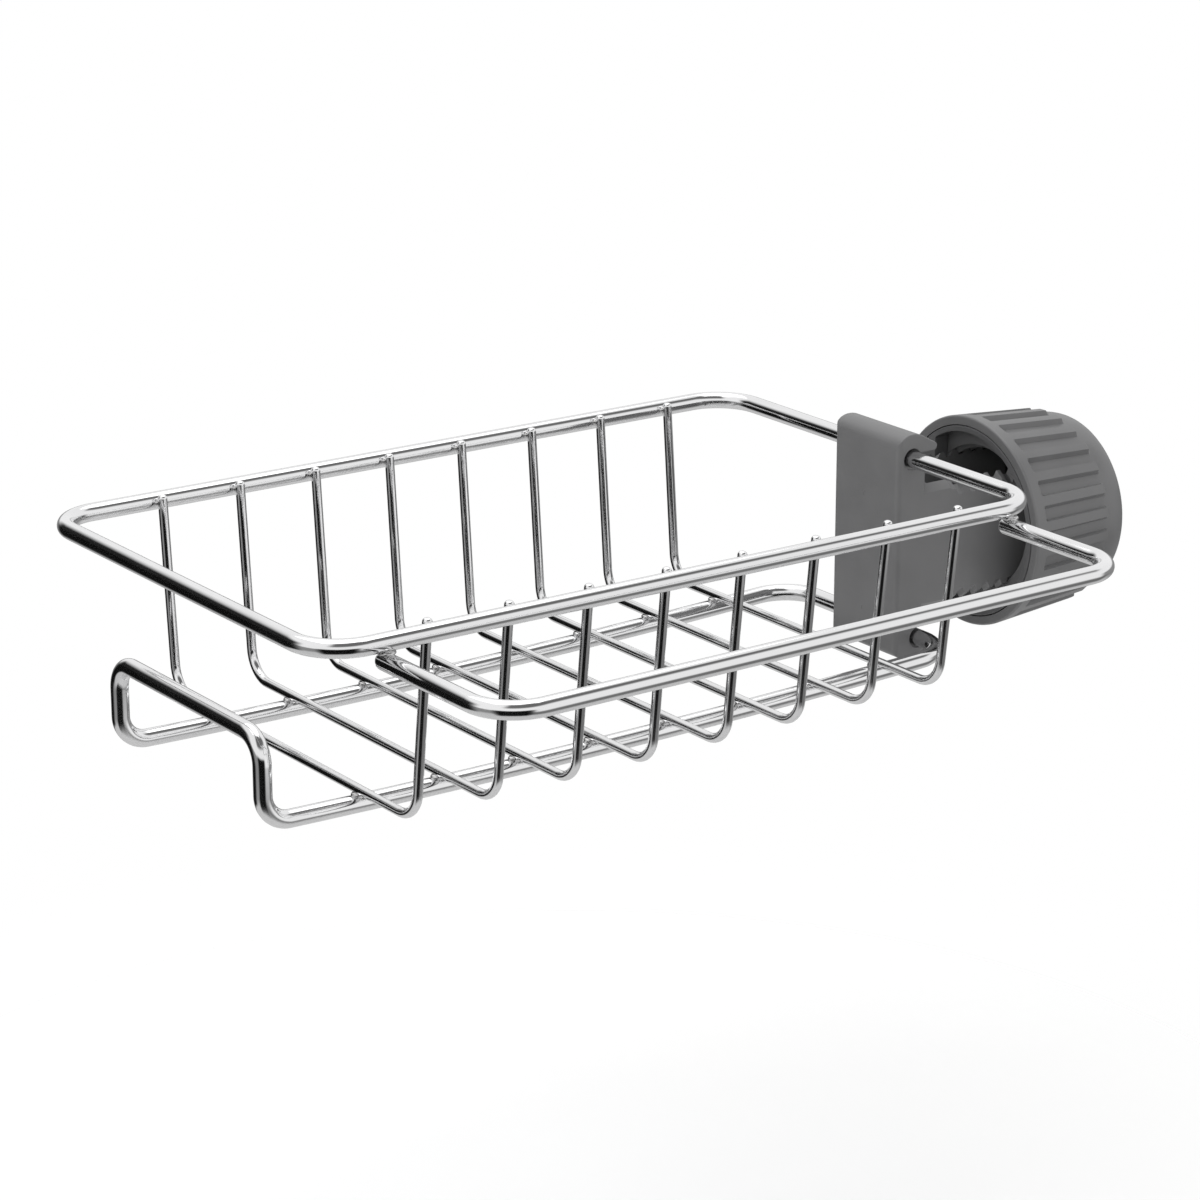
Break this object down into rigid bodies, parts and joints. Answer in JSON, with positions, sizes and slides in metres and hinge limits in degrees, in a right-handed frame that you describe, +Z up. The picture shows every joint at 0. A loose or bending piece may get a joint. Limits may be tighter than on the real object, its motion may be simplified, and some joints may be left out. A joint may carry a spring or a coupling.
{
  "type": "faucet shelf",
  "caption": "Welded wire basket with a towel rail, hung by its end wires on a moulded clamp that grips an upright tube between a rubber pad and a screw knob's press ring.",
  "frame": {"origin": "where the axis of the upright tube that the clamp grips crosses the knob's axis", "axes": "+X along the knob's axis, from the basket to the knob's closed end; +Z up along the tube; -Y the side with the towel rail"},
  "size_m": [0.3203, 0.2064, 0.071],
  "materials": {
    "wire_steel": "polished stainless steel wire",
    "clamp_plastic": "satin moulded grey plastic",
    "black_rubber": "matt black rubber"
  },
  "bodies": {
    "clamp": {"clamp_bracket": "clamp_plastic", "seat_pad": "black_rubber"},
    "basket": {"rim_wire": "wire_steel", "base_wire": "wire_steel", "towel_rail": "wire_steel", "cross_wire_1": "wire_steel", "cross_wire_2": "wire_steel", "cross_wire_3": "wire_steel", "cross_wire_4": "wire_steel", "cross_wire_5": "wire_steel", "cross_wire_6": "wire_steel", "cross_wire_7": "wire_steel", "cross_wire_8": "wire_steel"},
    "press_ring": {"press_ring": "clamp_plastic"},
    "knob": {"clamp_knob": "clamp_plastic"}
  },
  "joints": [
    {"name": "basket_shift", "type": "slide", "parent": "clamp", "child": "basket", "axis": [0, 1, 0], "range_m": [-0.017, 0.002]},
    {"name": "ring_press", "type": "slide", "parent": "clamp", "child": "press_ring", "axis": [1, 0, 0], "range_m": [-0.0091, 0.0061]},
    {"name": "knob_turn", "type": "hinge", "parent": "press_ring", "child": "knob", "pos_m": [0.0128, 0, 0], "axis": [1, 0, 0], "range_deg": [-648, 432]}
  ],
  "couplings": [
    {"joint": "ring_press", "follows": "knob_turn", "m_per_rad": 0.00079577}
  ]
}
